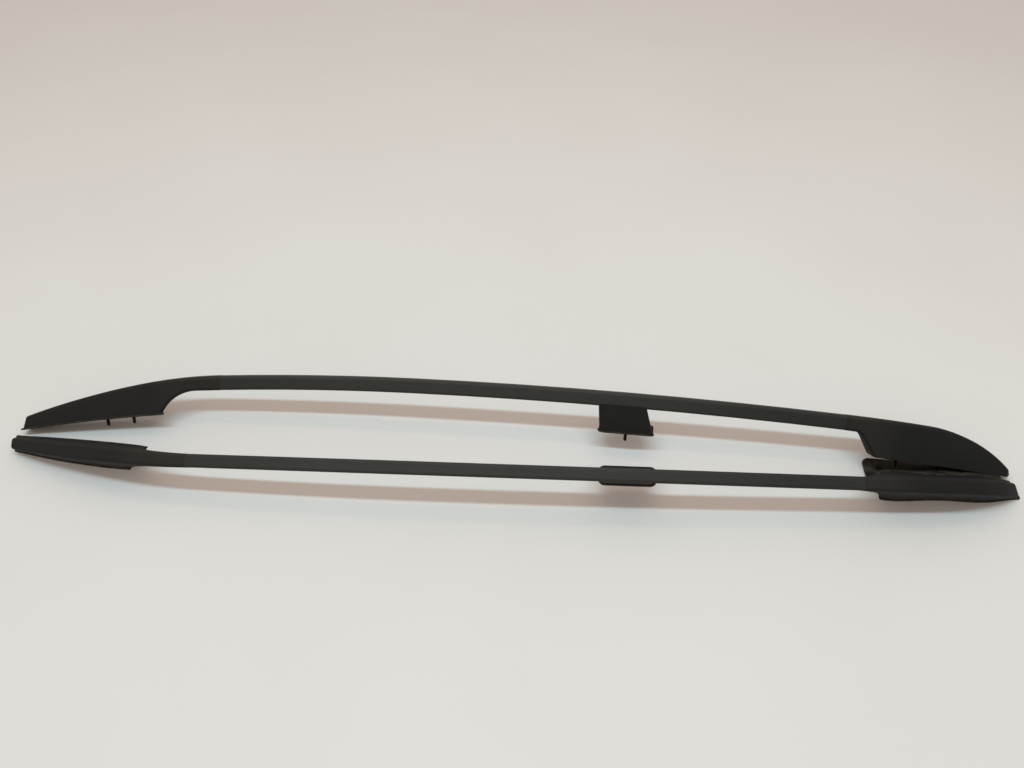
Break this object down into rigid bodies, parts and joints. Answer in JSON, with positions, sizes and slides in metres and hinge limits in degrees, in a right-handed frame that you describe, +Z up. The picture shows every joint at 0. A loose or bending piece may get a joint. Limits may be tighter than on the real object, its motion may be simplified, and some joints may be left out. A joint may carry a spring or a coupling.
{
  "type": "roof side rail pair",
  "caption": "Mirrored arched roof side rails for a car, each a slim bar between a long tapered front foot, a short leg and a rounded rear foot, on gaskets with threaded studs.",
  "frame": {"origin": "on the ground, under the middle of the pair's box", "axes": "+X along the rails towards the rear feet, +Z up, the right rail on the +Y side and the left on the -Y side"},
  "size_m": [1.7334, 0.214, 0.1029],
  "materials": {
    "bar": "satin black powder coat",
    "moulding": "fine moulded grain",
    "gasket": "matte",
    "casting": "as cast",
    "steel": "dark zinc plate"
  },
  "bodies": {
    "root": {"right_bar": "bar", "right_centre_leg": "moulding", "right_centre_insert": "steel", "right_centre_gasket": "gasket", "right_centre_stud": "steel", "right_centre_leg_screws": "steel", "right_front_cover": "moulding", "right_front_bracket": "casting", "right_front_gasket": "gasket", "right_front_studs": "steel", "right_front_bar_screws": "steel", "right_front_cover_screws": "steel", "right_rear_cover": "moulding", "right_rear_bracket": "casting", "right_rear_gasket": "gasket", "right_rear_studs": "steel", "right_rear_bar_screws": "steel", "right_rear_cover_screws": "steel", "left_bar": "bar", "left_centre_leg": "moulding", "left_centre_insert": "steel", "left_centre_gasket": "gasket", "left_centre_stud": "steel", "left_centre_leg_screws": "steel", "left_front_cover": "moulding", "left_front_bracket": "casting", "left_front_gasket": "gasket", "left_front_studs": "steel", "left_front_bar_screws": "steel", "left_front_cover_screws": "steel", "left_rear_cover": "moulding", "left_rear_bracket": "casting", "left_rear_gasket": "gasket", "left_rear_studs": "steel", "left_rear_bar_screws": "steel", "left_rear_cover_screws": "steel"}
  },
  "joints": []
}
